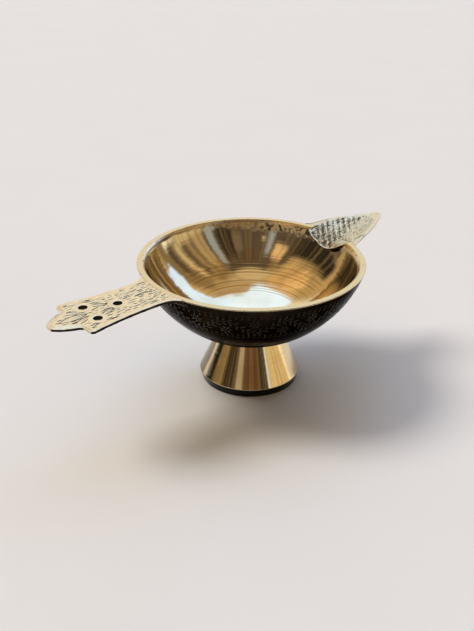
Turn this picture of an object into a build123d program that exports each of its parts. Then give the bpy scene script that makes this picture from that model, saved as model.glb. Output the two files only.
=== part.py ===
from build123d import *
import os
from math import cos, radians, sin

os.makedirs("parts", exist_ok=True)

# An aarti lamp in brass: a turned bowl on a conical foot, with a flat handle and a leaf-shaped wick rest.
# Millimetres. The origin is on the turning axis at the bottom of the foot, the handle points along -X and
# the leaf along +X.

# Bowl
rim_diameter = 90.0
rim_height = 51.5
rim_land = 2.3
rim_bevel = 1.1
bowl_curve = 49.0
floor_thickness = 3.0

# Foot
foot_height = 20.0
neck_diameter = 26.0
foot_diameter = 41.0
foot_band = 3.5
base_diameter = 39.2
foot_wall = 3.0
foot_corner = 1.5
web_thickness = 3.5

# Screw that holds the foot, a standard M6 with its washers
thread_diameter = 6.0
thread_clearance = 0.05
thread_chamfer = 0.6
screw_hole_diameter = 6.6
head_diameter = 10.0
head_height = 3.9
head_round = 1.0
head_recess = 2.4
slot_width = 1.6
slot_depth = 1.8
washer_diameter = 12.0
washer_bore = 6.4
washer_thickness = 1.6
spring_diameter = 11.8
spring_bore = 6.2
spring_thickness = 1.6
spring_slit = 1.2
spring_slant = 1.0

# Spigot under the bowl, which sits in the foot and takes the screw
spigot_diameter = 12.0
spigot_clearance = 0.1
spigot_end_gap = 0.3
tap_floor = 2.0
tap_end_gap = 0.7

# Handle, drawn along its own length from the rim
handle_length = 45.0
handle_thickness = 1.2
handle_droop = 1.6
waist_width = 20.0
waist_length = 7.0
shoulder_width = 26.0
shoulder_set = 9.5
shoulder_round = 1.5
notch_width = 18.4
tip_base_width = 13.2
tip_base_set = 7.7
tip_overrun = 1.2
tip_curve = 16.0
tip_round = 2.8
handle_root_fillet = 8.0
hole_diameter = 3.5
hole_pair_spacing = 10.3
hole_pair_set = 16.6
single_hole_set = 28.0

# Leaf wick rest, drawn along its own length from the rim: a flat border round a scooped trough
leaf_length = 28.3
leaf_edge = 1.1
leaf_step = 0.7
leaf_rise = 4.6
leaf_root_width = 29.6
leaf_root_depth = 4.0
leaf_side_curve = 100.0
leaf_tip_round = 1.5
leaf_root_fillet = 5.0
trough_depth = 1.95
trough_fall = 4.7
trough_curve = 36.0
trough_wall = 1.4
lobe_width = 20.8
lobe_reach = 8.2
lobe_bulge = 3.2

# Brazed joints
braze_gap = 0.05
braze_leg = 1.4
braze_bevel = 1.0

# Places worked out from the sizes above
rim_radius = rim_diameter / 2
neck_radius = neck_diameter / 2
rim_inner_radius = rim_radius - rim_land
mouth_radius = rim_inner_radius - rim_bevel
mouth_height = rim_height - rim_bevel
inside_bottom = foot_height + floor_thickness
inside_depth = mouth_height - inside_bottom
inside_curve = (mouth_radius**2 + inside_depth**2) / (2 * inside_depth)
head_top = head_recess + head_height
web_bottom = head_top + spring_thickness + washer_thickness
web_top = web_bottom + web_thickness
spigot_bottom = web_top + spigot_end_gap
tap_top = inside_bottom - tap_floor
screw_tip = tap_top - tap_end_gap
thread_radius = thread_diameter / 2
tap_radius = thread_radius + thread_clearance
spigot_radius = spigot_diameter / 2
socket_radius = spigot_radius + spigot_clearance

handle_angle = radians(handle_droop)
handle_plane = Plane(
    origin=(-rim_radius, 0, rim_height),
    x_dir=(-cos(handle_angle), 0, -sin(handle_angle)),
    z_dir=(-sin(handle_angle), 0, cos(handle_angle)),
)
leaf_angle = radians(leaf_rise)
leaf_plane = Plane(
    origin=(rim_radius, 0, rim_height + leaf_step),
    x_dir=(cos(leaf_angle), 0, sin(leaf_angle)),
    z_dir=(-sin(leaf_angle), 0, cos(leaf_angle)),
)
trough_angle = radians(leaf_rise + trough_fall)
trough_plane = Plane(
    origin=leaf_plane.from_local_coords((0, 0, -trough_depth)),
    x_dir=leaf_plane.y_dir,
    z_dir=(cos(trough_angle), 0, sin(trough_angle)),
)
leaf_drop = trough_depth + trough_wall + lobe_reach
trough_length = leaf_length + lobe_reach


def bowl_form(growth):
    """The solid outside form of the bowl, grown sideways and carried straight up past the rim."""
    with BuildPart() as form:
        with BuildSketch(Plane.XZ):
            with BuildLine():
                wall = RadiusArc(
                    (neck_radius + growth, foot_height),
                    (rim_radius + growth, rim_height),
                    -bowl_curve,
                )
                Polyline(
                    wall @ 1,
                    (rim_radius + growth, rim_height + trough_curve),
                    (0, rim_height + trough_curve),
                    (0, foot_height),
                    wall @ 0,
                )
            make_face()
        revolve(axis=Axis.Z)
    return form.part


def trough_cylinder(radius):
    """A solid cylinder along the trough: the scoop itself, or with a larger radius what lies below it."""
    with BuildPart() as cylinder:
        with BuildSketch(trough_plane):
            with Locations((0, trough_curve)):
                Circle(radius)
        extrude(amount=trough_length, both=True)
    return cylinder.part


# Notch in the rim that the leaf is let into
with BuildPart() as leaf_notch:
    with BuildSketch(leaf_plane):
        Rectangle(2 * lobe_reach, lobe_width + 2 * braze_gap)
    extrude(amount=leaf_drop, both=True)
    add(trough_cylinder(trough_curve + trough_wall + braze_gap), mode=Mode.INTERSECT)

# Bowl, turned about its axis, with the tapped spigot under its seat
with BuildPart() as bowl:
    with BuildSketch(Plane.XZ):
        with BuildLine():
            outside = RadiusArc((neck_radius, foot_height), (rim_radius, rim_height), -bowl_curve)
            rim = Polyline(
                outside @ 1,
                (rim_inner_radius, rim_height),
                (mouth_radius, mouth_height),
            )
            inside = RadiusArc(rim @ 1, (0, inside_bottom), inside_curve)
            Polyline(
                inside @ 1,
                (0, tap_top),
                (tap_radius, tap_top),
                (tap_radius, spigot_bottom),
                (spigot_radius, spigot_bottom),
                (spigot_radius, foot_height),
                outside @ 0,
            )
        make_face()
    revolve(axis=Axis.Z)
    add(leaf_notch.part, mode=Mode.SUBTRACT)
bowl.part.label = "bowl"
export_step(bowl.part, "parts/bowl.step")

# Foot: a hollow cone with a web across it and a socket for the spigot
cone_slope = (foot_diameter - neck_diameter) / 2 / (foot_height - foot_band)
cavity_top_radius = neck_radius + cone_slope * (foot_height - web_bottom) - foot_wall
with BuildPart() as foot:
    with BuildSketch(Plane.XZ) as foot_section:
        with BuildLine():
            Polyline(
                (base_diameter / 2, 0),
                (foot_diameter / 2, foot_band),
                (neck_radius, foot_height),
                (socket_radius, foot_height),
                (socket_radius, web_top),
                (screw_hole_diameter / 2, web_top),
                (screw_hole_diameter / 2, web_bottom),
                (cavity_top_radius, web_bottom),
                (base_diameter / 2 - foot_wall, 0),
                close=True,
            )
        make_face()
        cavity_corner = foot_section.vertices().sort_by_distance((cavity_top_radius, web_bottom))[0]
        fillet(cavity_corner, foot_corner)
    revolve(axis=Axis.Z)
foot.part.label = "foot"
export_step(foot.part, "parts/foot.step")

# Plain washer against the web
with BuildPart() as plain_washer:
    with BuildSketch(Plane.XY.offset(web_bottom - washer_thickness)):
        Circle(washer_diameter / 2)
        Circle(washer_bore / 2, mode=Mode.SUBTRACT)
    extrude(amount=washer_thickness)
plain_washer.part.label = "plain_washer"
export_step(plain_washer.part, "parts/plain_washer.step")

# Spring washer, drawn flat as the tight screw holds it, with its slanted slit
with BuildPart() as spring_washer:
    with BuildSketch(Plane.XY.offset(head_top)):
        Circle(spring_diameter / 2)
        Circle(spring_bore / 2, mode=Mode.SUBTRACT)
    extrude(amount=spring_thickness)
    with BuildSketch(Plane.YZ):
        with BuildLine():
            Polyline(
                (-spring_slit / 2 - spring_slant / 2, head_top),
                (spring_slit / 2 - spring_slant / 2, head_top),
                (spring_slit / 2 + spring_slant / 2, head_top + spring_thickness),
                (-spring_slit / 2 + spring_slant / 2, head_top + spring_thickness),
                close=True,
            )
        make_face()
    extrude(amount=spring_diameter, mode=Mode.SUBTRACT)
spring_washer.part.label = "spring_washer"
export_step(spring_washer.part, "parts/spring_washer.step")

# Slotted screw, head down. Its thread is a plain cylinder.
with BuildPart() as foot_screw:
    with BuildSketch(Plane.XY.offset(head_recess)):
        Circle(head_diameter / 2)
    extrude(amount=head_height)
    fillet(foot_screw.edges().group_by(Axis.Z)[0], head_round)
    with BuildSketch(Plane.XY.offset(head_top)):
        Circle(thread_radius)
    extrude(amount=screw_tip - head_top)
    chamfer(foot_screw.edges().group_by(Axis.Z)[-1], thread_chamfer)
    with BuildSketch(Plane.XY.offset(head_recess)):
        Rectangle(2 * head_diameter, slot_width)
    extrude(amount=slot_depth, mode=Mode.SUBTRACT)
foot_screw.part.label = "foot_screw"
export_step(foot_screw.part, "parts/foot_screw.step")

# Handle: a flat plate whose root flares into the rim and is cut to the bowl's outside
handle_root_radius = waist_width / 2 + handle_root_fillet
handle_root_half = handle_root_radius * rim_radius / (rim_radius + handle_root_fillet)
shoulder = handle_length - shoulder_set
tip_base = handle_length - tip_base_set
with BuildPart() as handle:
    with BuildSketch(handle_plane) as handle_outline:
        with BuildLine():
            waist = Line((-waist_length, waist_width / 2), (waist_length, waist_width / 2))
            flare = TangentArc(waist @ 1, (shoulder, shoulder_width / 2), tangent=waist % 1)
            edge = Line(flare @ 1, (shoulder, notch_width / 2))
            hollow = TangentArc(edge @ 1, (tip_base, tip_base_width / 2), tangent=edge % 1)
            RadiusArc(hollow @ 1, (handle_length + tip_overrun, 0), tip_curve)
            Line(waist @ 0, (-waist_length, 0))
            mirror(about=Plane.XZ)
        make_face()
        fillet(handle_outline.vertices().group_by(Axis.X)[-1], tip_round)
        shoulder_corners = handle_outline.vertices().group_by(Axis.Y)
        fillet(shoulder_corners[0] + shoulder_corners[-1], shoulder_round)
        with Locations((-rim_radius, 0)):
            Circle(rim_radius)
        root_corners = handle_outline.vertices().filter_by_position(Axis.X, -waist_length, 0)
        fillet(root_corners, handle_root_fillet)
        Rectangle(
            2 * handle_length,
            2 * max(handle_root_half, shoulder_width / 2),
            mode=Mode.INTERSECT,
        )
        with Locations((handle_length - hole_pair_set, 0)):
            with GridLocations(0, hole_pair_spacing, 1, 2):
                Circle(hole_diameter / 2, mode=Mode.SUBTRACT)
        with Locations((handle_length - single_hole_set, 0)):
            Circle(hole_diameter / 2, mode=Mode.SUBTRACT)
    extrude(amount=-handle_thickness)
    add(bowl_form(braze_gap), mode=Mode.SUBTRACT)
handle.part.label = "handle"
export_step(handle.part, "parts/handle.step")

# Brazing metal in the corner between the handle's underside and the bowl
with BuildPart() as handle_braze:
    add(bowl_form(braze_leg))
    with BuildSketch(handle_plane.offset(-handle_thickness)):
        Rectangle(2 * waist_length, 2 * handle_root_half)
    extrude(amount=-braze_leg, mode=Mode.INTERSECT)
    add(bowl_form(0), mode=Mode.SUBTRACT)
    long_edges = handle_braze.edges().filter_by(lambda edge: edge.length > handle_root_half)
    chamfer(long_edges.sort_by(lambda edge: edge.center().X + edge.center().Z)[0], braze_bevel)
handle_braze.part.label = "handle_braze"
export_step(handle_braze.part, "parts/handle_braze.step")

# Leaf wick rest: its outline outside the rim, with a root that flares along the rim
with BuildSketch(leaf_plane) as leaf_outline:
    with BuildLine():
        side = RadiusArc((-leaf_root_depth, leaf_root_width / 2), (leaf_length, 0), leaf_side_curve)
        Line(side @ 0, (-leaf_root_depth, 0))
        mirror(about=Plane.XZ)
    make_face()
    fillet(leaf_outline.vertices().group_by(Axis.X)[-1], leaf_tip_round)
    with Locations((-rim_radius, 0)):
        Circle(rim_radius)
    fillet(leaf_outline.vertices().filter_by_position(Axis.X, -leaf_root_depth, 0), leaf_root_fillet)
    Rectangle(2 * leaf_length, leaf_root_width + leaf_root_fillet, mode=Mode.INTERSECT)

# The belly of the trough outside the rim
with BuildPart() as leaf_belly:
    add(leaf_outline.sketch)
    extrude(amount=-leaf_drop)
    add(trough_cylinder(trough_curve + trough_wall), mode=Mode.INTERSECT)

# The lobe, which passes through the notch and reaches over the bowl
with BuildPart() as leaf_lobe:
    with BuildSketch(leaf_plane):
        with BuildLine():
            lobe_start = (lobe_bulge - lobe_reach, lobe_width / 2)
            lobe_side = Line((leaf_root_depth, lobe_width / 2), lobe_start)
            lobe_end = ThreePointArc(lobe_start, (-lobe_reach, 0), (lobe_start[0], -lobe_start[1]))
            Polyline(lobe_end @ 1, (leaf_root_depth, -lobe_width / 2), lobe_side @ 0)
        make_face()
    extrude(amount=-leaf_drop)
    add(trough_cylinder(trough_curve + trough_wall), mode=Mode.INTERSECT)

# The whole leaf: border plate and belly cut to the bowl's outside, then the lobe, then the scoop
with BuildPart() as leaf_wick_rest:
    add(leaf_outline.sketch)
    extrude(amount=-leaf_edge)
    add(leaf_belly.part)
    add(bowl_form(braze_gap), mode=Mode.SUBTRACT)
    add(leaf_lobe.part)
    add(trough_cylinder(trough_curve), mode=Mode.SUBTRACT)
leaf_wick_rest.part.label = "leaf_wick_rest"
export_step(leaf_wick_rest.part, "parts/leaf_wick_rest.step")

# Brazing metal in the corner between the leaf's underside and the bowl
with BuildPart() as leaf_braze:
    with BuildSketch(leaf_plane):
        Rectangle(2 * lobe_reach, lobe_width)
    extrude(amount=-leaf_drop)
    add(trough_cylinder(trough_curve + trough_wall + braze_leg), mode=Mode.INTERSECT)
    add(trough_cylinder(trough_curve + trough_wall), mode=Mode.SUBTRACT)
    add(bowl_form(braze_leg), mode=Mode.INTERSECT)
    add(bowl_form(0), mode=Mode.SUBTRACT)
    long_edges = leaf_braze.edges().filter_by(lambda edge: edge.length > lobe_width / 2)
    chamfer(long_edges.sort_by(lambda edge: edge.center().X - edge.center().Z)[-1], braze_bevel)
leaf_braze.part.label = "leaf_braze"
export_step(leaf_braze.part, "parts/leaf_braze.step")
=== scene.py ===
# %% [markdown]
# # A brass aarti lamp
# This is a small oil lamp that is held by its handle and moved in slow circles during prayer. A turned
# bowl stands on a conical foot. A flat engraved handle is brazed to one side of the rim, and a leaf-
# shaped rest for the wick is let into the other. The construction comes in as a packed frame that is
# never moved, and each step below makes the looks of one piece or one finish around it.

# %% The packed frame
from math import asin, cos, pi, radians, sin, sqrt, tan

import bmesh
import bpy
import numpy as np
from mathutils import Matrix, Vector
from mathutils.kdtree import KDTree


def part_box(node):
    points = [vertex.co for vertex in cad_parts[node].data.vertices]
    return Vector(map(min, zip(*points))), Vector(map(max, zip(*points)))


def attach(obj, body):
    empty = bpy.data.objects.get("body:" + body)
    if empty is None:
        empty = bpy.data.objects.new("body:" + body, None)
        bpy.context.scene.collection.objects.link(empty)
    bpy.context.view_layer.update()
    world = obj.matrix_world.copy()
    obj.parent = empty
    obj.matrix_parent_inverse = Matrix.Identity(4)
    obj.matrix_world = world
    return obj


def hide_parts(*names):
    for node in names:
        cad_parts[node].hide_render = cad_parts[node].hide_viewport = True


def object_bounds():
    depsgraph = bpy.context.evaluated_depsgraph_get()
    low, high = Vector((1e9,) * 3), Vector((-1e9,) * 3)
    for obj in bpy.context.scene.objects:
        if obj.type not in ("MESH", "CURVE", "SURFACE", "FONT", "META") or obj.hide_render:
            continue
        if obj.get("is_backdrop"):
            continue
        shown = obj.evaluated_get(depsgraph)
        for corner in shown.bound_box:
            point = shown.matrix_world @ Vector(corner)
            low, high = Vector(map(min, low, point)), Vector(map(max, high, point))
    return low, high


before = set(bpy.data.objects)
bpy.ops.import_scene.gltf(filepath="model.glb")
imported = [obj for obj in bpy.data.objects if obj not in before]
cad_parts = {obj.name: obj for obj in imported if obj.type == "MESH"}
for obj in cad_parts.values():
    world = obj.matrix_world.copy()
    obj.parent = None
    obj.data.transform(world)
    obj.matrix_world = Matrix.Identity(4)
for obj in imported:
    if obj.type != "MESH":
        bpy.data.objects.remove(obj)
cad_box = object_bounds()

scene = bpy.context.scene
scene.view_settings.view_transform = "Standard"
print("CAD nodes:", sorted(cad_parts))

# %% [markdown]
# ## Camera
# The photograph looks down on the lamp from its front left, with the handle towards the left. A camera
# can be aimed with a constraint or by three turns. Turns are used here, because each is one plain angle:
# round the lamp, down towards it, and a slight lean of the picture.

# %% Camera
mm = 0.001
photo_height_px = 631
focal_length_px = 970
camera_turn = radians(-39.74)
camera_distance = 350 * mm
camera_height = 206.4 * mm
camera_yaw = radians(0.89)
camera_pitch = radians(27.21)
camera_lean = radians(0.6)

camera_data = bpy.data.cameras.new("photo_camera")
camera_data.lens = focal_length_px / photo_height_px * camera_data.sensor_width
camera = bpy.data.objects.new("photo_camera", camera_data)
scene.collection.objects.link(camera)
towards_camera = Vector((sin(camera_turn), -cos(camera_turn), 0))
camera_place = Matrix.Translation(camera_distance * towards_camera + Vector((0, 0, camera_height)))
camera_aim = (
    Matrix.Rotation(camera_turn + camera_yaw, 4, "Z")
    @ Matrix.Rotation(pi / 2 - camera_pitch, 4, "X")
    @ Matrix.Rotation(camera_lean, 4, "Z")
)
camera.matrix_world = camera_place @ camera_aim
scene.camera = camera
print("camera lens in mm:", round(camera_data.lens, 2))

# %% [markdown]
# ## Node arithmetic
# A finish on metal is mostly sums: how far a point is from the turning axis, how deep a cut is there, how
# much polish the cut leaves. Placing a Math node for each sum by hand hides that. Here a small class
# wraps a socket, so that a sum reads as a sum and adds its own nodes.

# %% Sockets that can be added and multiplied


class Value:
    """A node's output. Arithmetic on it adds Math nodes to the same tree."""

    def __init__(self, tree, socket):
        self.tree = tree
        self.socket = socket

    def __add__(self, other):
        return self.tree.math("ADD", self, other)

    def __radd__(self, other):
        return self.tree.math("ADD", other, self)

    def __sub__(self, other):
        return self.tree.math("SUBTRACT", self, other)

    def __rsub__(self, other):
        return self.tree.math("SUBTRACT", other, self)

    def __mul__(self, other):
        return self.tree.math("MULTIPLY", self, other)

    def __rmul__(self, other):
        return self.tree.math("MULTIPLY", other, self)


print("sockets take +, - and *")

# %% [markdown]
# ## Placing nodes
# One method places any node from its type, its settings and its sockets. The nodes could be placed one by
# one, but then the same few lines come back a hundred times. Soft steps, mixed colours and noises are
# built on that method, because nearly every finish needs them.

# %% Node trees


class Nodes:
    """A node tree that nodes are added to: any node, sums, soft steps and mixed colours."""

    def __init__(self, node_tree):
        self.node_tree = node_tree

    def node(self, kind, settings, sockets, output=0):
        made = self.node_tree.nodes.new("ShaderNode" + kind)
        for key, setting in settings.items():
            setattr(made, key, setting)
        for key, value in sockets.items():
            self.plug(made.inputs[key], value)
        return Value(self, made.outputs[output])

    def plug(self, socket, value):
        if isinstance(value, Value):
            self.node_tree.links.new(value.socket, socket)
        else:
            socket.default_value = value

    def math(self, operation, *values):
        return self.node("Math", {"operation": operation}, dict(enumerate(values)))

    def step(self, value, start, end):
        """Rises softly from 0 at start to 1 at end. With start above end it falls."""
        sockets = {"Value": value, "From Min": start, "From Max": end}
        return self.node("MapRange", {"interpolation_type": "SMOOTHSTEP"}, sockets)

    def mix(self, share, first, second):
        """The first colour where share is 0 and the second where it is 1."""
        return self.node("Mix", {"data_type": "RGBA"}, {0: share, 6: first, 7: second}, 2)

    def noise(self, place, scale, detail=2):
        return self.node("TexNoise", {}, {"Vector": place, "Scale": scale, "Detail": detail})

    def line_noise(self, distance, scale, detail=2):
        """Noise along one distance only, as the lines that a turning tool leaves."""
        sockets = {"W": distance, "Scale": scale, "Detail": detail}
        return self.node("TexNoise", {"noise_dimensions": "1D"}, sockets)


print("node tools:", [name for name in vars(Nodes) if not name.startswith("_")])

# %% [markdown]
# ## What a finish is
# A finish is one material. It knows where a point lies on its piece in millimetres, as a maker would
# measure it, and hands colours and numbers to the shader by the names of its sockets. A second shader is
# mixed in only where a surface is matt in one place and glossy in another.

# %% Finishes


class Finish(Nodes):
    """One material, with the place on its piece in millimetres."""

    def __init__(self, name):
        self.material = bpy.data.materials.new(name)
        self.material.use_nodes = True
        super().__init__(self.material.node_tree)
        self.shader = self.node_tree.nodes["Principled BSDF"]
        metres = self.node("TexCoord", {}, {}, "Object")
        self.place = self.node("VectorMath", {"operation": "SCALE"}, {0: metres, "Scale": 1 / mm})
        self.x = self.node("SeparateXYZ", {}, {0: self.place}, "X")
        self.y = Value(self, self.x.socket.node.outputs["Y"])
        self.z = Value(self, self.x.socket.node.outputs["Z"])

    def radius(self):
        """Distance from the turning axis."""
        return self.math("SQRT", self.x * self.x + self.y * self.y)

    def attribute(self, name):
        return self.node("Attribute", {"attribute_name": name}, {}, "Fac")

    def bump(self, height, distance):
        return self.node("Bump", {}, {"Height": height, "Distance": distance})

    def matt_where(self, share, colour):
        """Mixes in a matt paint where share is 1, for painted shade that mirrors nothing."""
        sockets = {"Base Color": colour, "Roughness": 0.9, "Specular IOR Level": 0}
        matt = self.node("BsdfPrincipled", {}, sockets)
        polished = Value(self, self.shader.outputs[0])
        mixed = self.node("MixShader", {}, {0: share, 1: polished, 2: matt})
        self.plug(self.node_tree.nodes["Material Output"].inputs["Surface"], mixed)

    def paint(self, **sockets):
        """Sets sockets of the shader, such as Base_Color, by value or by link."""
        for name, value in sockets.items():
            self.plug(self.shader.inputs[name.replace("_", " ")], value)
        print("finish:", self.material.name)


print("finish tools:", [name for name in vars(Finish) if not name.startswith("_")])

# %% [markdown]
# ## Sizes
# The outer sizes come from the frame, so that a piece made here stays on its CAD node. The few that the
# box of a node doesn't show, such as the width of the rim, are written out as the real sizes that they
# are.

# %% Sizes
bowl_low, bowl_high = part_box("bowl")
foot_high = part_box("foot")[1]
rim_radius = bowl_high.y
rim_height = bowl_high.z
foot_height = foot_high.z
foot_radius = foot_high.y
neck_radius = 13 * mm
print("rim radius and height in mm:", round(rim_radius / mm, 2), round(rim_height / mm, 2))

# %% [markdown]
# ## Turned pieces
# The bowl and the foot were turned on a lathe, so both are one outline spun about the axis. A modifier
# could do that, and so can the spin operator, which leaves a plain mesh that can be cut afterwards. The
# outline is a list of points with its round stretches worked out as arcs.

# %% Lathe tools
turn_steps = 256
weld_distance = 0.0001 * mm


def arc_centre(start, end, radius):
    """Centre of an arc between two points. With a positive radius it is left of the way to the end."""
    half_chord = (Vector(end) - Vector(start)) / 2
    across = Vector((-half_chord.y, half_chord.x)).normalized()
    rise = sqrt(radius * radius - half_chord.length_squared)
    return Vector(start) + half_chord + (across * rise if radius > 0 else -across * rise)


def arc(start, end, radius, steps):
    """Points on an arc, without its start."""
    centre = arc_centre(start, end, radius)
    first = Vector(start) - centre
    chord = (Vector(end) - Vector(start)).length
    turn = 2 * asin(chord / 2 / radius)
    points = []
    for step in range(1, steps + 1):
        angle = turn * step / steps
        points.append((
            centre.x + first.x * cos(angle) - first.y * sin(angle),
            centre.y + first.x * sin(angle) + first.y * cos(angle),
        ))
    return points


def lathe(outline, closed):
    """Spins an outline of (radius, height) points about the axis."""
    shape = bmesh.new()
    verts = [shape.verts.new((radius, 0, height)) for radius, height in outline]
    pairs = list(zip(verts, verts[1:]))
    if closed:
        pairs.append((verts[-1], verts[0]))
    edges = [shape.edges.new(pair) for pair in pairs]
    bmesh.ops.spin(
        shape,
        geom=verts + edges,
        cent=(0, 0, 0),
        axis=(0, 0, 1),
        angle=2 * pi,
        steps=turn_steps,
        use_merge=True,
    )
    bmesh.ops.remove_doubles(shape, verts=shape.verts, dist=weld_distance)
    bmesh.ops.recalc_face_normals(shape, faces=shape.faces)
    return shape


print("the lathe turns in", turn_steps, "steps")

# %% [markdown]
# ## From a shape to a piece
# A bmesh is only a shape. To be a piece of the lamp it needs a name, its finishes and the body that it
# moves with. Smooth shading alone would round off true corners, and flat shading would show every face,
# so only the edges that turn by more than a crease angle stay sharp.

# %% Making a piece


def make_piece(name, shape, finishes, body, node=None, crease=radians(35)):
    """Turns a bmesh into a piece on a body. Edges stay sharp where faces meet at more than the crease."""
    for face in shape.faces:
        face.smooth = True
    for edge in shape.edges:
        edge.smooth = edge.calc_face_angle(0) < crease
    mesh = bpy.data.meshes.new(name)
    shape.to_mesh(mesh)
    shape.free()
    for finish in finishes:
        mesh.materials.append(finish.material)
    piece = bpy.data.objects.new(name, mesh)
    scene.collection.objects.link(piece)
    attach(piece, body)
    if node:
        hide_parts(node)
    print(name, "has", len(mesh.polygons), "faces")


# %% [markdown]
# ## Bright brass, as turned and polished
# The inside of the bowl is a mirror with faint rings from the lathe. The rings could be modelled, but
# they are only a few thousandths of a millimetre deep, so they are bump along the distance from the
# middle: broad waves that bend the reflections, and fine lines on top. A few brown rings are left half
# way up, where they weren't wiped off. Smears change the gloss and a thin film dulls the upper wall.
# Beside the leaf, where the buffing wheel couldn't reach, the spotted skin of the casting is left below
# the rim.

# %% Polished inside
inside_curve = 45.28
inside_centre = 68.28
bright_brass = (0.87, 0.72, 0.46, 1)
deep_brass = (0.76, 0.60, 0.36, 1)
ring_brown = (0.42, 0.32, 0.18, 1)
film_brass = (0.68, 0.61, 0.46, 1)
film_start = 32
film_end = 46
film_share = 0.85
ring_start = 19
ring_full = 22
ring_fade = 31
ring_end = 40
ring_share = 0.7
wiped_line = 14
unwiped_line = 24
skin_gold = (0.70, 0.52, 0.27, 1)
skin_brown = (0.07, 0.05, 0.03, 1)
skin_depth = 4.0
skin_middle = 0.45
skin_core = 0.3
skin_half = 1.3
skin_ragged = 6
skin_soft = 2.2
fewest_spots = 0.3
wall_length = 52.7


def polished_inside():
    finish = Finish("polished_inside")
    along = inside_curve * finish.math("ARCTAN2", finish.radius(), inside_centre - finish.z)
    waves = finish.line_noise(along, 0.4, 1)
    lines = finish.line_noise(along, 3.2, 3)
    smear = finish.noise(finish.place, 0.07, 4)
    brass = finish.mix(finish.step(smear + 0.3 * lines, 0.45, 0.85), bright_brass, deep_brass)
    brass = finish.mix(film_share * finish.step(along, film_start, film_end), brass, film_brass)
    turned = finish.line_noise(along, 0.8, 3)
    middle_wall = finish.step(along, ring_start, ring_full) * finish.step(along, ring_end, ring_fade)
    unwiped = finish.step(finish.x + finish.y, wiped_line, unwiped_line)
    rings = ring_share * finish.step(turned, 0.5, 0.62) * middle_wall * unwiped
    from_leaf = finish.math("ABSOLUTE", finish.math("ARCTAN2", finish.y, finish.x) - skin_middle)
    blotches = finish.noise(finish.place, 0.5, 4)
    skin_reach = along + skin_depth * finish.step(from_leaf, skin_half, skin_core)
    skin_reach = skin_reach + skin_ragged * (blotches - 0.5)
    skin = finish.step(skin_reach, wall_length, wall_length + skin_soft)
    spots = finish.step(finish.noise(finish.place, 0.6, 4), 0.48, 0.56)
    spots = spots * (fewest_spots + (1 - fewest_spots) * finish.step(from_leaf, 0.5, 0.2))
    ringed_brass = finish.mix(rings, brass, ring_brown)
    spotted_skin = finish.mix(spots, skin_gold, skin_brown)
    finish.paint(
        Base_Color=finish.mix(skin, ringed_brass, spotted_skin),
        Metallic=1 - 0.75 * skin,
        Roughness=0.03 + 0.07 * smear + 0.05 * finish.step(lines, 0.5, 0.7) + 0.25 * skin,
        Normal=finish.bump(waves + 0.16 * lines + 0.3 * rings, 0.028 * mm),
    )
    return finish


inside_finish = polished_inside()

# %% [markdown]
# ## Pale rim
# The flat of the rim was faced off last and isn't buffed, so it is paler and softer than the inside. Fine
# lines run round it, and small dark pits of the casting are left in it. Grooves that fine would need
# millions of faces, so lines and pits are noise in the finish.

# %% Pale rim
pale_brass = (0.77, 0.61, 0.33, 1)
cool_brass = (0.73, 0.64, 0.40, 1)
pit_brown = (0.22, 0.19, 0.14, 1)


def faced_rim():
    finish = Finish("faced_rim")
    lines = finish.line_noise(finish.radius(), 9, 2)
    patches = finish.noise(finish.place, 0.3, 3)
    pits = finish.step(finish.noise(finish.place, 1.5, 3), 0.66, 0.74)
    brass = finish.mix(finish.step(patches, 0.35, 0.65), pale_brass, cool_brass)
    finish.paint(
        Base_Color=finish.mix(pits, brass, pit_brown),
        Metallic=1,
        Roughness=0.22 + 0.14 * patches + 0.1 * pits,
        Normal=finish.bump(lines + patches - 2 * pits, 0.008 * mm),
    )
    return finish


rim_finish = faced_rim()

# %% [markdown]
# ## Mottled bevel
# The small bevel inside the rim still shows the skin of the casting: gold, with dark spots. A dark line
# along its lower half on the handle's side is painted shade. All of that could be modelled, but it is only
# colour, so it is soft steps of a noise and of the place. The spigot below the bowl has the same finish.

# %% Mottled bevel
bevel_gold = (0.84, 0.67, 0.42, 1)
bevel_shade_brown = (0.20, 0.15, 0.09, 1)
bevel_shade_reach = (2, -14)
bevel_shade_share = 0.9
bevel_line = rim_height / mm - 0.6
bevel_line_soft = 0.2


def mottled_bevel():
    finish = Finish("mottled_bevel")
    lines = finish.line_noise(finish.z, 6, 2)
    spots = finish.step(finish.noise(finish.place, 0.75, 3), 0.56, 0.66)
    lower_half = finish.step(finish.z, bevel_line + bevel_line_soft, bevel_line - bevel_line_soft)
    # painted shade: a dark line along the lower half of the bevel on the handle's side
    painted_shade_line = finish.step(finish.x, *bevel_shade_reach) * lower_half
    gold = finish.mix(bevel_shade_share * painted_shade_line, bevel_gold, bevel_shade_brown)
    finish.paint(
        Base_Color=finish.mix(spots, gold, pit_brown),
        Metallic=1,
        Roughness=0.2 + 0.12 * lines + 0.1 * spots,
        Normal=finish.bump(lines - spots, 0.01 * mm),
    )
    return finish


bevel_finish = mottled_bevel()

# %% [markdown]
# ## Painted dark outside
# The outside of the bowl is painted near black, as painted dark reflection and shade. The dark is thin and
# glossy, a little uneven, and rubbed through to brass on the sharp edge below the rim. It could be a black
# paint with a clear coat, but the brass below still warms what it mirrors, so it is a dark metal. Close to
# the foot the painted shade is matt.

# %% Painted dark outside
painted_shade_black = (0.013, 0.010, 0.007, 1)
painted_shade_brown = (0.030, 0.022, 0.014, 1)
rubbed_height = rim_height / mm - 0.35
rubbed_soft = 0.5
# a grey tint that dims the grazing reflections: painted shade along the outline
grazing_shade_tint = (0.45, 0.45, 0.45, 1)
matt_height = 27
matt_soft = 5


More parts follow.
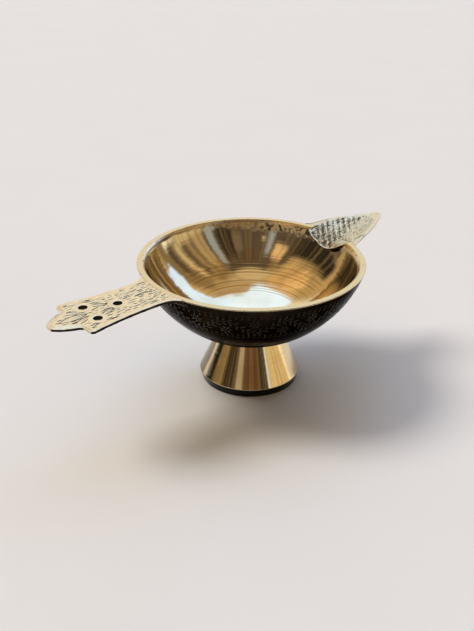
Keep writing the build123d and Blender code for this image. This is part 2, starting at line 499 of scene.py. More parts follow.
def blackened_outside():
    finish = Finish("blackened_outside")
    cloud = finish.noise(finish.place, 0.12, 4)
    grain = finish.noise(finish.place, 3.2, 3)
    rubbed = finish.step(finish.z + 0.5 * grain, rubbed_height, rubbed_height + rubbed_soft)
    # the near black coat is painted dark reflection and shade, uneven in a cloud
    coat = finish.mix(finish.step(cloud, 0.4, 0.75), painted_shade_black, painted_shade_brown)
    finish.paint(
        Base_Color=finish.mix(rubbed, coat, deep_brass),
        Metallic=1,
        Roughness=0.12 + 0.14 * grain,
        Specular_Tint=grazing_shade_tint,
        Normal=finish.bump(grain, 0.012 * mm),
    )
    # close to the foot the painted shade turns matt
    finish.matt_where(finish.step(finish.z, matt_height + matt_soft, matt_height), painted_shade_black)
    return finish


outside_finish = blackened_outside()

# %% [markdown]
# ## Bowl
# The bowl is one turned outline: the mirror inside, a small bevel, the flat rim, the round outside and
# the spigot that sits in the foot, with a tapped hole in it. It could be a sphere that is cut open and
# thickened, but an outline gives each of these its own size.

# %% Bowl
bowl_curve = 49 * mm
rim_land = 2.3 * mm
rim_bevel = 1.1 * mm
rim_round = 0.3 * mm
floor_thickness = 3 * mm
spigot_radius = 6 * mm
tap_radius = 3.05 * mm
tap_floor = 2 * mm
rim_inner = rim_radius - rim_land
mouth_radius = rim_inner - rim_bevel
mouth_height = rim_height - rim_bevel
inside_bottom = foot_height + floor_thickness
tap_top = inside_bottom - tap_floor
spigot_bottom = bowl_low.z

bowl_outline = [(0, inside_bottom)]
bowl_outline += arc((0, inside_bottom), (mouth_radius, mouth_height), inside_curve * mm, 72)
bowl_outline += [(rim_inner, rim_height), (rim_radius - rim_round, rim_height)]
bowl_outline += arc(bowl_outline[-1], (rim_radius, rim_height - rim_round), -rim_round, 4)
bowl_outline += arc(bowl_outline[-1], (neck_radius, foot_height), -bowl_curve, 64)
bowl_outline += [
    (spigot_radius, foot_height),
    (spigot_radius, spigot_bottom),
    (tap_radius, spigot_bottom),
    (tap_radius, tap_top),
    (0, tap_top),
]
bowl_shape = lathe(bowl_outline, closed=False)
print("bowl outline has", len(bowl_outline), "points")

# %% [markdown]
# ## Where the leaf lies
# The leaf has a plane of its own that rises gently from the rim, and its trough is a shallow cylinder
# that falls towards the bowl. Both could be measured on the mesh, but they are kept as a few numbers,
# because the notch, the veins and the dots all need the same trough.

# %% The leaf's plane and trough
leaf_rise = radians(4.6)
leaf_step = 0.7 * mm
trough_depth = 1.95 * mm
trough_fall = radians(4.7)
trough_curve = 36 * mm
trough_wall = 1.4 * mm
lobe_half = 10.4 * mm
lobe_gap = 0.05 * mm


def plane_matrix(origin, along, up):
    """A frame with its first axis along a piece and its third away from the piece's top."""
    matrix = Matrix((along, up.cross(along), up)).transposed().to_4x4()
    matrix.translation = origin
    return matrix


leaf_plane = plane_matrix(
    Vector((rim_radius, 0, rim_height + leaf_step)),
    Vector((cos(leaf_rise), 0, sin(leaf_rise))),
    Vector((-sin(leaf_rise), 0, cos(leaf_rise))),
)
trough_start = leaf_plane @ Vector((0, 0, -trough_depth))
trough_tilt = leaf_rise + trough_fall


def trough_height(x, y, radius):
    """Height of the trough's surface above a point: of the scoop, or of what lies below it."""
    lift = trough_curve - sqrt(radius * radius - y * y)
    along = (x - trough_start.x + lift * sin(trough_tilt)) / cos(trough_tilt)
    return trough_start.z + along * sin(trough_tilt) + lift * cos(trough_tilt)


print("trough starts at", [round(value / mm, 2) for value in trough_start])

# %% [markdown]
# ## Where the bowl's outside is
# The notch and the vine both have to meet the outside of the bowl at a given height. They could look it
# up in the mesh, but the outside is one arc, so its radius at a height is one line of arithmetic.

# %% The bowl's outside as a curve
outside_middle = arc_centre((neck_radius, foot_height), (rim_radius, rim_height - rim_round), bowl_curve)


def outside_radius(height):
    """The bowl's outside at a height."""
    return outside_middle.x + sqrt(max(bowl_curve**2 - (height - outside_middle.y) ** 2, 0))


print("outside below the rim is at", round(outside_radius(rim_height - rim_round) / mm, 2), "mm")

# %% [markdown]
# ## The notch
# The leaf is let into a notch in the rim. The notch could be a Boolean, but a Boolean leaves long thin
# faces in the mirror. Here the mesh is cut along the notch's two sides, twice on each side for a thin
# steep wall, and every point between them that stands above the leaf's belly is pressed down onto it.
# Points that would then stick out of the bowl are drawn in to its outside.

# %% The notch
notch_half = lobe_half + lobe_gap
notch_wall = 0.04 * mm
notch_reach = 30 * mm
belly_radius = trough_curve + trough_wall + lobe_gap

for side in (-1, 1):
    for line in (notch_half, notch_half - notch_wall):
        faces = [face for face in bowl_shape.faces if face.calc_center_median().x > notch_reach]
        edges = {edge for face in faces for edge in face.edges}
        verts = {vert for face in faces for vert in face.verts}
        bmesh.ops.bisect_plane(
            bowl_shape,
            geom=list(verts) + list(edges) + faces,
            plane_co=(0, side * line, 0),
            plane_no=(0, 1, 0),
            dist=weld_distance,
        )
for vert in bowl_shape.verts:
    if vert.co.x > notch_reach and abs(vert.co.y) < notch_half - notch_wall / 2:
        floor_height = trough_height(vert.co.x, vert.co.y, belly_radius)
        if vert.co.z > floor_height:
            vert.co.z = floor_height
            radius = min(vert.co.xy.length, outside_radius(floor_height))
            vert.co.xy = vert.co.xy.normalized() * radius
print("notch is", round(2 * notch_half / mm, 2), "mm wide")

# %% [markdown]
# ## Which finish goes where
# One bowl carries four finishes. It could be four pieces, but the real one is turned from one casting. So
# each face gets the number of its finish from where it lies and which way it faces.

# %% The bowl's finishes
level_enough = 0.95
bevel_slope = 0.3
bowl_finishes = [inside_finish, rim_finish, outside_finish, bevel_finish]

for face in bowl_shape.faces:
    middle = face.calc_center_median()
    radius = middle.xy.length
    if face.normal.z > level_enough and radius > mouth_radius:
        finish = rim_finish
    elif middle.z > inside_bottom and radius < mouth_radius and face.normal.z > 0:
        finish = inside_finish
    elif face.normal.z > bevel_slope and middle.z > mouth_height:
        finish = bevel_finish
    else:
        finish = outside_finish if radius > neck_radius else bevel_finish
    face.material_index = bowl_finishes.index(finish)
make_piece("turned_bowl", bowl_shape, bowl_finishes, "bowl", "bowl")

# %% [markdown]
# ## Engraved vine
# A band of vine runs round the outside, cut into it. The cuts could be drawn as a pattern in the finish,
# but then they would be missing from the mesh. Here each cut is a flat lens, painted nearly as dark as the
# outside, as painted dark reflection, and laid into the surface: a wavy stem, leaves beside it, and a
# rosette in each bend, twelve times round the bowl.

# %% Vine finish
painted_dark_brass = (0.034, 0.029, 0.021, 1)
painted_dark_brown = (0.014, 0.011, 0.008, 1)


def painted_dark_vine():
    finish = Finish("painted_dark_vine")
    patches = finish.noise(finish.place, 0.25, 3)
    grain = finish.noise(finish.place, 4, 2)
    # the lenses are painted dark reflection, a little uneven in patches
    finish.paint(
        Base_Color=finish.mix(finish.step(patches, 0.35, 0.7), painted_dark_brass, painted_dark_brown),
        Metallic=1,
        Roughness=0.26 + 0.2 * grain,
        Normal=finish.bump(grain, 0.01 * mm),
    )
    return finish


vine_finish = painted_dark_vine()

# %% [markdown]
# ## Strokes of the vine
# Every stroke of the engraver is the same lens, only longer or shorter. It could be drawn once and copied
# by an array, but the bowl's side leans more and more towards its foot. So each lens is laid by itself:
# it is turned to the slope of the bowl at its height and then round the axis.

# %% Strokes of the vine
stroke_rise = 0.07
eye_width = 0.9
petal_size = (1.7, 0.75)
petal_shift = 1.55


def lay_stroke(shape, turn, height, length, width, slant):
    """Lays one lens on the bowl's outside, slanted from level. Sizes are in millimetres."""
    radius = outside_radius(height * mm)
    outward = Vector((radius - outside_middle.x, 0, height * mm - outside_middle.y)).normalized()
    level = Vector((0, 1, 0))
    along = level * cos(slant) + outward.cross(level) * sin(slant)
    place = plane_matrix(Vector((radius, 0, height * mm)), along, outward)
    size = Matrix.Scale(mm, 4) @ Matrix.Diagonal((length / 2, width / 2, stroke_rise, 1))
    lens = bmesh.ops.create_uvsphere(shape, u_segments=8, v_segments=4, radius=1)
    spun = Matrix.Rotation(turn, 4, "Z")
    bmesh.ops.transform(shape, matrix=spun @ place @ size, verts=lens["verts"])


def lay_rosette(shape, turn, height, petals):
    """Petals round a small eye."""
    radius = outside_radius(height * mm) / mm
    lay_stroke(shape, turn, height, eye_width, eye_width, 0)
    for petal in range(petals):
        angle = 2 * pi * petal / petals
        petal_turn = turn + petal_shift * cos(angle) / radius
        petal_height = height + petal_shift * sin(angle)
        lay_stroke(shape, petal_turn, petal_height, *petal_size, angle)


def repeat_round(shape, count):
    """Copies a shape round the axis until it is there this many times."""
    bmesh.ops.spin(
        shape,
        geom=list(shape.verts) + list(shape.edges) + list(shape.faces),
        cent=(0, 0, 0),
        axis=(0, 0, 1),
        angle=2 * pi * (count - 1) / count,
        steps=count - 1,
        use_duplicate=True,
    )


print("vine strokes stand", stroke_rise, "mm proud")

# %% [markdown]
# ## One repeat, and its copies
# The same bend of the vine comes back twelve times, so only one is laid, stroke by stroke: the stem, a
# leaf on either side of it, a fringe, a row of dashes above and below, and two rosettes. The copies could
# be objects of their own, but the vine is one piece, so the spin operator copies the strokes within it.

# %% One repeat of the vine, and its copies
vine_repeats = 12
vine_height = 42.5
vine_swing = 2.9
stem_strokes = 10
stem_size = (2.5, 0.42)
side_leaf_size = (2.1, 0.7)
side_leaf_shift = 1.25
side_leaf_lean = 0.75
fringe_size = (1.5, 0.5)
fringe_shift = 4.7
fringe_lean = 1.1
dash_size = (1.7, 0.34)
dash_heights = (vine_height - 6.2, vine_height + 6.0)
rosette_petals = 7
rosette_shift = 1.9

vine_shape = bmesh.new()
repeat_turn = 2 * pi / vine_repeats
for stroke in range(stem_strokes):
    share = (stroke + 0.5) / stem_strokes
    turn = repeat_turn * share
    height = vine_height + vine_swing * sin(2 * pi * share)
    slant = vine_swing * cos(2 * pi * share) * vine_repeats / (rim_radius / mm)
    lay_stroke(vine_shape, turn, height, *stem_size, slant)
    for dash_height in dash_heights:
        lay_stroke(vine_shape, turn, dash_height, *dash_size, 0)
    for side in (-1, 1):
        leaf_height = height + side * side_leaf_shift
        fringe_height = vine_height + side * fringe_shift
        lay_stroke(vine_shape, turn, leaf_height, *side_leaf_size, slant + side * side_leaf_lean)
        lay_stroke(vine_shape, turn, fringe_height, *fringe_size, side * fringe_lean)
lay_rosette(vine_shape, 0.25 * repeat_turn, vine_height - rosette_shift, rosette_petals)
lay_rosette(vine_shape, 0.75 * repeat_turn, vine_height + rosette_shift, rosette_petals)
repeat_round(vine_shape, vine_repeats)
make_piece("engraved_vine", vine_shape, [vine_finish], "bowl")

# %% [markdown]
# ## Foot
# The foot is turned from the same brass and polished less, so that its rings draw every reflection out
# into upright streaks. A texture could stretch them, but the shader has a setting for that. Below its
# widest line the band that slopes in to the table is painted dark, as painted dark reflection. The side
# below the handle is painted darker, as painted dark reflection, but for one painted bright streak.

# %% Foot finish
foot_band = 3.5
painted_dark_band = (0.026, 0.027, 0.021, 1)
painted_reflection_brown = (0.17, 0.145, 0.09, 1)
painted_dark_start = radians(-3)
painted_dark_end = radians(56)
painted_dark_soft = 0.05
painted_dark_fade = 0.2
painted_streak_start = radians(11)
painted_streak_end = radians(18)
painted_streak_soft = 0.04


def turned_foot():
    finish = Finish("turned_foot")
    rings = finish.line_noise(finish.z, 5, 3) + 0.5 * finish.line_noise(finish.z, 1.1, 1)
    cloud = finish.noise(finish.place, 0.12, 3)
    # painted dark reflection on the band below the widest line
    band = finish.step(finish.z, foot_band + 0.05, foot_band - 0.25)
    brass = finish.mix(finish.step(cloud + 0.3 * rings, 0.55, 1.05), bright_brass, deep_brass)
    from_handle = finish.math("ARCTAN2", finish.y, 0 - finish.x) + 0.1 * (cloud - 0.5)
    # painted dark reflection on the side below the handle, with one painted bright streak in it
    painted_dark_reflection = finish.step(from_handle, painted_dark_start - painted_dark_soft, painted_dark_start + painted_dark_soft)
    painted_dark_reflection = painted_dark_reflection * finish.step(from_handle, painted_dark_end + painted_dark_fade, painted_dark_end - painted_dark_fade / 2)
    painted_bright_streak = finish.step(from_handle, painted_streak_start - painted_streak_soft, painted_streak_start + painted_streak_soft)
    painted_bright_streak = painted_bright_streak * finish.step(from_handle, painted_streak_end + painted_streak_soft, painted_streak_end - painted_streak_soft)
    brass = finish.mix(painted_dark_reflection * (0.85 - 0.75 * painted_bright_streak), brass, painted_reflection_brown)
    finish.paint(
        Base_Color=finish.mix(band, brass, painted_dark_band),
        Metallic=1,
        Roughness=0.06 + 0.06 * cloud + 0.08 * band,
        Anisotropic=0.5,
        Normal=finish.bump(rings, 0.006 * mm),
    )
    return finish


foot_finish = turned_foot()

# %% [markdown]
# ## The foot's shape
# The foot is a turned outline too: the band, the cone with one fine groove, the socket for the bowl's
# spigot, the web that the screw goes through, and the hollow below it. The cone could be one long face,
# but then the groove would bend the shading far above and below it. So it has a point about every
# millimetre.

# %% Foot
base_radius = 19.6 * mm
foot_wall = 3 * mm
web_top = 13 * mm
web_bottom = 9.5 * mm
socket_radius = 6.1 * mm
screw_hole_radius = 3.3 * mm
cavity_corner = 1.5 * mm
edge_round = 0.35 * mm
groove_middle = 13.4 * mm
groove_width = 0.3 * mm
groove_depth = 0.012 * mm
cone_slope = (foot_radius - neck_radius) / (foot_height - foot_band * mm)


def straight(start, end, steps):
    """Points on a straight line, without its start."""
    start = Vector(start)
    end = Vector(end)
    return [tuple(start.lerp(end, step / steps)) for step in range(1, steps + 1)]


def on_cone(height, sunk=0):
    """A point of the cone, or one that is sunk below it."""
    return neck_radius + cone_slope * (foot_height - height) - sunk, height


cavity_radius = on_cone(web_bottom)[0] - foot_wall
band_height = foot_band * mm
band_lean = (foot_radius - base_radius) / band_height
foot_outline = [(base_radius - foot_wall, 0), (base_radius - edge_round, 0)]
foot_outline += arc(foot_outline[-1], (base_radius + band_lean * edge_round, edge_round), edge_round, 4)
foot_outline += straight(
    foot_outline[-1], (foot_radius - band_lean * edge_round, band_height - edge_round), 4
)
foot_outline += arc(foot_outline[-1], on_cone(band_height + edge_round), 2 * edge_round, 4)
foot_outline += straight(foot_outline[-1], on_cone(groove_middle - groove_width), 10)
foot_outline += [on_cone(groove_middle, groove_depth), on_cone(groove_middle + groove_width)]
foot_outline += straight(foot_outline[-1], on_cone(foot_height), 7)
foot_outline += [
    (socket_radius, foot_height),
    (socket_radius, web_top),
    (screw_hole_radius, web_top),
    (screw_hole_radius, web_bottom),
    (cavity_radius - cavity_corner, web_bottom),
]
cavity_side = (cavity_radius + cavity_corner / 5, web_bottom - cavity_corner)
foot_outline += arc(foot_outline[-1], cavity_side, -1.3 * cavity_corner, 6)
make_piece(
    "turned_foot", lathe(foot_outline, closed=True), [foot_finish], "foot", "foot"
)

# %% [markdown]
# ## Carved pieces
# The handle and the leaf are castings with cut ornament. Each starts as a copy of its CAD node. A voxel
# remesh divides the copy into even small faces, as fine as the tip of the graver, and then the points of
# the top sink where the ornament says. How deep a point was cut, and how worn it is, are kept as
# attributes for the finish.

# %% Recasting
recast_crease = radians(60)


def recast(node, fineness):
    """A copy of a CAD node, remeshed into even small faces."""
    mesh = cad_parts[node].data.copy()
    shape = bmesh.new()
    shape.from_mesh(mesh)
    bmesh.ops.remove_doubles(shape, verts=shape.verts, dist=weld_distance)
    shape.to_mesh(mesh)
    shape.free()
    blank = bpy.data.objects.new("blank", mesh)
    scene.collection.objects.link(blank)
    remesh = blank.modifiers.new("Recast", "REMESH")
    remesh.mode = "VOXEL"
    remesh.voxel_size = fineness
    shape = bmesh.new()
    shape.from_object(blank, bpy.context.evaluated_depsgraph_get())
    shape.normal_update()
    bpy.data.objects.remove(blank)
    bpy.data.meshes.remove(mesh)
    print(node, "recast with", len(shape.verts), "points")
    return shape


def local_points(shape, plane):
    """Every point of a shape in a plane's own frame, in millimetres."""
    to_plane = plane.inverted()
    return np.array([to_plane @ vert.co for vert in shape.verts]) / mm


def set_points(shape, plane, points, **attributes):
    """Moves every point to its place in a plane's frame, and keeps what the finish needs to know."""
    for vert, place in zip(shape.verts, points):
        vert.co = plane @ Vector(place * mm)
    for name, values in attributes.items():
        layer = shape.verts.layers.float.new(name)
        for vert, value in zip(shape.verts, values):
            vert[layer] = value


print("corners of a recast copy stay sharp above", round(recast_crease * 180 / pi), "degrees")

# %% [markdown]
# ## Carving by numbers
# The ornament could be sculpted by hand, but a sculpted mesh can't be written down. Here the depth of a
# cut is a sum of soft steps, worked out for all points at once. What looks random is a fixed number for
# each place, so that the same lamp comes out every time.

# %% Carving tools


def ease(value, start, end):
    """Rises softly from 0 at start to 1 at end, for whole arrays."""
    share = np.clip((value - start) / (end - start), 0, 1)
    return share * share * (3 - 2 * share)


def scatter(row, column, seed):
    """A fixed number from 0 to 1 for each place in a grid, in place of a random one."""
    wild = np.sin(row * 12.99 + column * 78.23 + seed * 37.7) * 4375.85
    return wild - np.floor(wild)


def edge_distance(points, on_side):
    """How far each point is from the nearest side wall, seen from above."""
    tree = KDTree(int(on_side.sum()))
    for index, place in enumerate(points[on_side]):
        tree.insert((place[0], place[1], 0), index)
    tree.balance()
    return np.array([tree.find((place[0], place[1], 0))[2] for place in points])


print("half way up, a soft step has reached", ease(0.5, 0, 1))

# %% [markdown]
# ## Handle ornament
# The top of the handle is engraved with sprays of petals at its tip and rows of short strokes, like
# grains of rice, that run along it, all rubbed with black. A plain border is left round the edge and a
# bright lip round each hole. A drawing could be pressed into the mesh, but here every stroke is the same
# pointed groove, worked out from its two ends.

# %% Graver strokes
line_half = 0.34
grain_steepness = 1.6
petal_steepness = 1.3
petal_vein_end = 0.6
thinnest = 0.001


def along_stroke(along, across, start, end):
    """Share of the way along a stroke, and distance from its middle line."""
    start = np.array(start)
    way = np.array(end) - start
    length = np.hypot(*way)
    way = way / length
    share = ((along - start[0]) * way[0] + (across - start[1]) * way[1]) / length
    offset = np.abs((across - start[1]) * way[0] - (along - start[0]) * way[1])
    return share, offset


def pointed(share, half_width):
    """Half width of a pointed oval along its length."""
    return half_width * 4 * np.clip(share * (1 - share), 0, 1)


def grain_cut(along, across, start, end, half_width):
    """Depth of one pointed groove, as a share from 0 to 1."""
    share, offset = along_stroke(along, across, start, end)
    edge = np.maximum(pointed(share, half_width), thinnest)
    return np.clip(grain_steepness * (1 - offset / edge), 0, 1)


def petal_cut(along, across, start, end, half_width):
    """Depth of a petal's outline and vein, and where its plain inside is."""
    share, offset = along_stroke(along, across, start, end)
    edge = pointed(share, half_width)
    within = (share > 0) & (share < 1)
    outline = np.clip(petal_steepness * (1 - np.abs(offset - edge) / line_half), 0, 1)
    outline = np.where(within, outline, 0)
    vein = np.clip(1 - offset / (line_half * (1 - share)), 0, 1)
    vein = np.where(within & (share < petal_vein_end), vein, 0)
    return np.maximum(outline, vein), within & (offset < edge)


print("graver lines are", 2 * line_half, "mm wide")

# %% [markdown]
# ## Petals and rows
# The petals are placed one by one, as the engraver placed them. The grains could be placed one by one as
# well, but there are nearly three hundred. They come from a loop, and a fixed scatter of place, length,
# width, lean and strength keeps them from looking stamped.

# %% Handle ornament
handle_droop = radians(1.6)
handle_plane = plane_matrix(
    Vector((-rim_radius, 0, rim_height)),
    Vector((-cos(handle_droop), 0, -sin(handle_droop))),
    Vector((-sin(handle_droop), 0, cos(handle_droop))),
)
petals = [
    ((29.5, 0.0), (41.0, 0.0), 1.45),
    ((29.6, 1.9), (38.0, 5.2), 1.05),
    ((29.6, -1.9), (38.0, -5.2), 1.05),
    ((23.4, 8.6), (33.6, 10.2), 0.95),
    ((23.4, -8.6), (33.6, -10.2), 0.95),
    ((19.8, 1.9), (26.2, 4.4), 0.9),
    ((19.8, -1.9), (26.2, -4.4), 0.9),
]
grain_rows = 8
grain_columns = 16
grain_pitch = 2.9
grain_shift = 0.6
grain_least = 1.4
grain_more = 2.8
grain_lean = 0.8
root_start = 2
row_pitch = 1.3
row_waver = 0.5
row_opening = 0.008
petal_strength = 0.75


def one_grain(along, across, row, column):
    """One short stroke of a row. Its place, length, width, lean and strength vary."""
    start = grain_pitch * (column + 0.5 * (row % 2) + grain_shift * scatter(row, column, 1)) - root_start
    row_place = row + row_waver * scatter(row, column, 4) - row_waver / 2
    level = row_pitch * row_place * (1 + row_opening * start)
    end_along = start + grain_least + grain_more * scatter(row, column, 2)
    end_across = level + grain_lean * scatter(row, column, 3) - grain_lean / 2
    half_width = line_half * (0.6 + 0.8 * scatter(row, column, 5))
    strength = 0.45 + 0.55 * scatter(row, column, 6)
    return strength * grain_cut(along, across, (start, level), (end_along, end_across), half_width)


def handle_ornament(along, across):
    """Cut depth of all the engraving on the handle's top."""
    grains = np.zeros_like(along)
    for row in range(-grain_rows, grain_rows + 1):
        for column in range(grain_columns):
            grains = np.maximum(grains, one_grain(along, across, row, column))
    cut = np.zeros_like(along)
    for start, end, half_width in petals:
        petal, inside = petal_cut(along, across, start, end, half_width)
        grains = np.where(inside, 0, grains)
        cut = np.maximum(cut, petal_strength * petal)
    return np.maximum(cut, grains)


print("handle has", len(petals), "petals and", (2 * grain_rows + 1) * grain_columns, "grain strokes")

# %% [markdown]
# ## Finish of the handle
# The handle is pale satin brass with black rubbed into every cut. The black could be a second piece that
# fills the grooves, but the depth of the cut is known at each point, so a soft step of it is enough. A
# fine grain frays its edge. The sides are painted black too, as painted shade, and the corner of the top is
# rubbed bright.

# %% Handle finish
lac_and_shade_black = (0.020, 0.016, 0.012, 1)
handle_cream = (0.98, 0.79, 0.47, 1)
handle_tan = (0.88, 0.71, 0.43, 1)
lip_brass = (0.88, 0.83, 0.69, 1)
tarnish = (0.50, 0.40, 0.26, 1)


def engraved_handle():
    finish = Finish("engraved_handle")
    cut = finish.attribute("cut")
    blackened = finish.attribute("blackened")
    worn = finish.attribute("worn")
    patches = finish.noise(finish.place, 0.4, 3)
    grain = finish.noise(finish.place, 4, 3)
    filled = finish.step(cut + 1.1 * (grain - 0.5), 0.15, 0.65)
    brass = finish.mix(finish.step(patches, 0.35, 0.65), handle_cream, handle_tan)
    brass = finish.mix(0.7 * finish.step(grain, 0.5, 0.62), brass, tarnish)
    brass = finish.mix(worn, brass, lip_brass)
    # the black fills the cuts as lac, and paints shade on the sides and hole walls
    lac_and_painted_shade = finish.math("MAXIMUM", filled, blackened)
    finish.paint(
        Base_Color=finish.mix(lac_and_painted_shade, brass, lac_and_shade_black),
        Metallic=1,
        Roughness=0.3 + 0.18 * grain - 0.1 * worn,
        Normal=finish.bump(grain + patches, 0.014 * mm),
    )
    return finish


handle_finish = engraved_handle()

# %% [markdown]
# ## The handle's top
# The handle is a flat plate, so a point close to its plane belongs to the top. The plain border and the
# worn corner follow the outer edge. Their distance from it could come from a drawing of the outline, but
# the recast copy has points on its side walls already, and a search tree finds the nearest one.

# %% The handle's top
handle_fineness = 0.17 * mm
handle_thickness = 1.2
flat_band = 0.12
side_margin = 0.3
rim_clearance = 0.5 * mm
tip_start = 33.0
tip_end = 37.0
border = 1.8
tip_border = 2.9
border_soft = 0.3
edge_width = 0.45
worn_start = 0.05

handle_shape = recast("handle", handle_fineness)
points = local_points(handle_shape, handle_plane)
from_axis = np.array([vert.co.xy.length for vert in handle_shape.verts])
on_top = points[:, 2] > -flat_band
on_side = (points[:, 2] < -side_margin) & (points[:, 2] > side_margin - handle_thickness)
away = edge_distance(points, on_side & (from_axis > rim_radius + rim_clearance))
towards_tip = ease(points[:, 0], tip_start, tip_end)
plain = border + (tip_border - border) * towards_tip
cut = np.zeros(len(points))
cut[on_top] = handle_ornament(points[on_top, 0], points[on_top, 1])
cut = cut * ease(away, plain - border_soft, plain + border_soft)
worn = np.where(on_top, 1 - ease(away, worn_start, edge_width), 0)
print("mean depth of cut on the handle's top:", round(float(cut[on_top].mean()), 3))

# %% [markdown]
# ## Painted shade on the sides, and burrs
# The sides of the handle and the walls of its holes are painted black, as painted shade, apart from one
# corner of the root, which is left bright. Below each hole stands the low burr that the drill left. A burr
# could be a ring of its own, but it is the same metal, so the underside is drawn down round the hole.

# %% Painted shade on the sides, and burrs
hole_radius = 1.75
hole_middles = ((28.4, 5.15), (28.4, -5.15), (17.0, 0.0))
burr_height = 0.8
burr_width = 0.7
burr_start = 0.1
cusp_reach = 2 * mm

normals = np.array([vert.normal for vert in handle_shape.verts])
from_hole = np.min([np.hypot(points[:, 0] - u, points[:, 1] - v) for u, v in hole_middles], axis=0)
lower = ease(-points[:, 2], flat_band, 2 * flat_band)
sideways = ease(np.abs(normals[:, 1]), 0.3, 0.6)
cusp = (from_axis < rim_radius + cusp_reach) & (points[:, 1] < 0)
# painted shade: the sides and the hole walls are painted black, apart from one corner at the root
blackened = np.where(cusp, 0, lower * sideways)
blackened = np.maximum(blackened, lower * (from_hole < hole_radius + burr_width))
underside = points[:, 2] < flat_band - handle_thickness
burr = burr_height * (1 - ease(from_hole, hole_radius + burr_start, hole_radius + burr_width))
points[:, 2] -= np.where(underside, burr, 0)
print("burrs stand", burr_height, "mm below", len(hole_middles), "holes")

# %% [markdown]
# ## The handle's shape
# Now the cuts sink into the top. Its edge falls away a little all round, as a file leaves it, and widens
# to a bevel at the tip. A Bevel modifier would round both alike. Where the root meets the rim it is drawn
# in under the rim's rounded edge, so that no groove is left between the two.

# %% Handle
edge_fall = 0.06
tip_fall = 0.4
tip_width = 2.4
handle_cut_depth = 0.14
root_lap = 0.28 * mm
root_zone = 0.25 * mm


def lap_root(points, plane, lap):
    """Draws a piece's root face in under the rounded edge of the rim, so that no groove is left there."""
    for index, place in enumerate(points):
        spot = plane @ Vector(place * mm)
        if spot.xy.length < rim_radius + root_zone:
            spot.xy = spot.xy.normalized() * min(spot.xy.length, rim_radius - lap)
            points[index] = np.array(plane.inverted() @ spot) / mm


fall = edge_fall + (tip_fall - edge_fall) * towards_tip
width = edge_width + (tip_width - edge_width) * towards_tip
points[:, 2] = np.where(on_top, -fall * (1 - ease(away, 0, width)), points[:, 2])
points[:, 2] -= handle_cut_depth * cut
lap_root(points, handle_plane, root_lap)
set_points(handle_shape, handle_plane, points, cut=cut, worn=worn, blackened=blackened)
make_piece(
    "engraved_handle", handle_shape, [handle_finish], "bowl", "handle", recast_crease
)

# %% [markdown]
# ## Leaf
# The wick rest is cast as a leaf. A smooth border runs round a scooped trough. The far half of the trough
# is cut with broad veins that slant out from the middle, the near half with fine ones, and the lobe over
# the bowl is punched with dots. The hollows hold soot and what stands between them is rubbed pale. One
# colour all over would look like paint, so the finish follows what the carving below keeps for each
# point.

# %% Leaf finish
leaf_silver = (0.82, 0.685, 0.42, 1)
leaf_grey = (0.68, 0.58, 0.365, 1)
soot_and_shade = (0.062, 0.046, 0.025, 1)
root_grey = (0.34, 0.30, 0.19, 1)
grain_bright = (0.92, 0.76, 0.47, 1)
leaf_lip = (0.86, 0.74, 0.52, 1)


def veined_leaf():
    finish = Finish("veined_leaf")
    cut = finish.attribute("cut")
    worn = finish.attribute("worn")
    hollow = finish.attribute("hollow")
    shaded = finish.attribute("shaded")
    root = finish.attribute("root")
    grain = finish.noise(finish.place, 2.2, 3)
    patches = finish.noise(finish.place, 0.5, 3)
    filled = finish.step(cut + 4.0 * hollow * (grain - 0.5), 0.18, 0.72)
    metal = finish.mix(finish.step(patches, 0.35, 0.65), leaf_silver, leaf_grey)
    metal = finish.mix(root * finish.step(grain + patches, 0.75, 1.15), metal, root_grey)
    metal = finish.mix(0.7 * hollow * finish.step(grain, 0.47, 0.38), metal, grain_bright)
    metal = finish.mix(worn, metal, leaf_lip)
    finish.paint(
        # the soot colour fills the cuts and paints shade where shaded is set
        Base_Color=finish.mix(finish.math("MAXIMUM", filled, shaded), metal, soot_and_shade),
        Metallic=1,
        Roughness=0.24 + 0.2 * grain + 0.2 * root,
        Normal=finish.bump(grain, 0.05 * mm),
    )
    return finish


leaf_finish = veined_leaf()

# %% [markdown]
# ## Veins and dots
# The veins are bars that were cut by hand, so they break up into beads of uneven depth. The fine lines
# draw together towards the tip, as on a real leaf. A picture could be pressed into the trough, but a few
# lines of arithmetic give the same cuts at any fineness.

# %% Leaf veins
vein_pitch = 2.95
vein_slant = 0.84
vein_half = 0.47
vein_steepness = 1.4
bead_length = 0.75
broad_edge = -3.2
broad_lean = 0.3
broad_soft = (-1.5, 1.0)
fine_pitch = 0.95
fine_half = 0.32
fine_steepness = 1.3
fine_break = 1.4
tip_distance = 42.0
dot_pitch = 0.95
dot_radius = 0.44
dot_steepness = 1.4
dot_shift = 0.3
dot_gaps = 0.2
dot_strength = 0.9
dot_fade = 0.75
dot_spread = 0.4
lobe_reach = (-1, 9)
soot_strength = 0.15
soot_side = (-6, 4)


def slanted_veins(along, across):
    """Broad grooves that slant out from the middle of the leaf, broken into beads."""
    phase = (along - vein_slant * across) / vein_pitch
    bead = scatter(np.round(phase), np.floor(across / bead_length), 4)
    offset = np.abs(phase - np.round(phase))
    half_width = vein_half * (0.5 + 0.8 * bead)
    return np.clip(vein_steepness * (1 - offset / half_width), 0, 1) * (0.45 + 0.55 * bead)


def fine_lines(along, across):
    """Fine broken lines along the leaf that draw together towards its tip."""
    phase = across / (fine_pitch * (1 - along / tip_distance))
    piece = scatter(np.round(phase), np.floor(along / fine_break), 8)
    offset = np.abs(phase - np.round(phase))
    return np.clip(fine_steepness * (1 - offset / fine_half), 0, 1) * (0.15 + 0.5 * piece)


